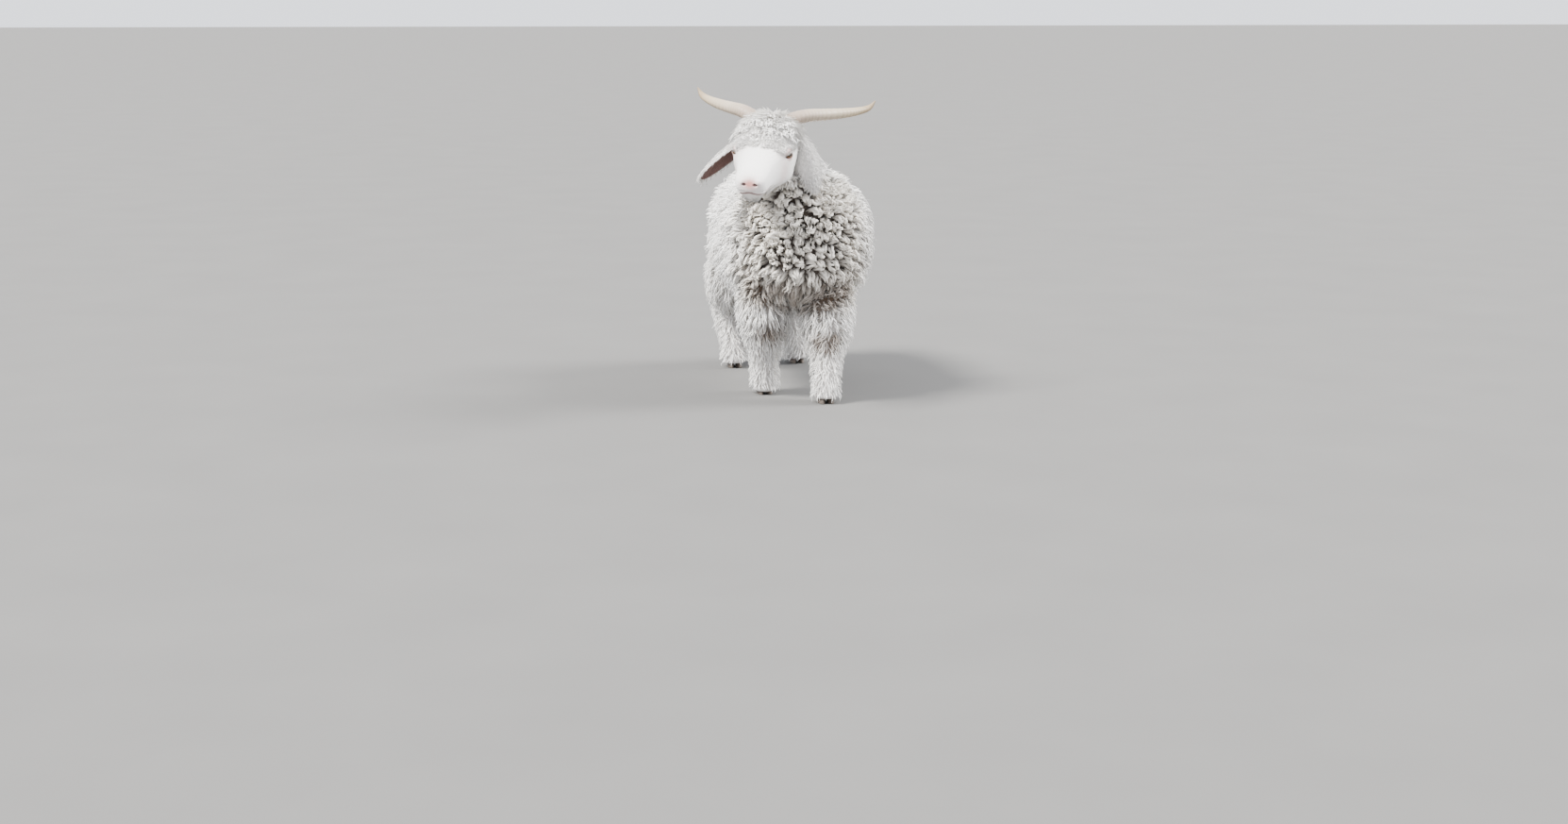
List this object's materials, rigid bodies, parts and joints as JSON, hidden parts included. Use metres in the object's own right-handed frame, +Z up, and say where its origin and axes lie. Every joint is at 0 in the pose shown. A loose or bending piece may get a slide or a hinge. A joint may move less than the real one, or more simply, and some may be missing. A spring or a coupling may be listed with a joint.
{
  "type": "angora goat",
  "caption": "Life-size angora goat, standing in a full curly fleece with drooping ears and horns swept out sideways.",
  "frame": {"origin": "on the floor, under the middle of the whole animal's box", "axes": "+Z up, the goat's body faces -Y, and +X is its left side"},
  "size_m": [0.5448, 0.9968, 0.8627],
  "materials": {
    "fleece": "matt, curly wool",
    "face": "matt, short hair",
    "ear": "matt, thin hair over skin",
    "horn": "satin horn",
    "hoof": "dull horn",
    "eye": "wet gloss"
  },
  "bodies": {
    "root": {"torso": "fleece", "neck": "fleece", "tail": "fleece", "leg_fore_left": "fleece", "leg_fore_right": "fleece", "leg_hind_left": "fleece", "leg_hind_right": "fleece", "head": "face", "ear_left": "ear", "ear_right": "ear", "horn_left": "horn", "horn_right": "horn", "eye_left": "eye", "eye_right": "eye", "hoof_fore_left_inner": "hoof", "hoof_fore_left_outer": "hoof", "hoof_fore_right_inner": "hoof", "hoof_fore_right_outer": "hoof", "hoof_hind_left_inner": "hoof", "hoof_hind_left_outer": "hoof", "hoof_hind_right_inner": "hoof", "hoof_hind_right_outer": "hoof"}
  },
  "joints": []
}
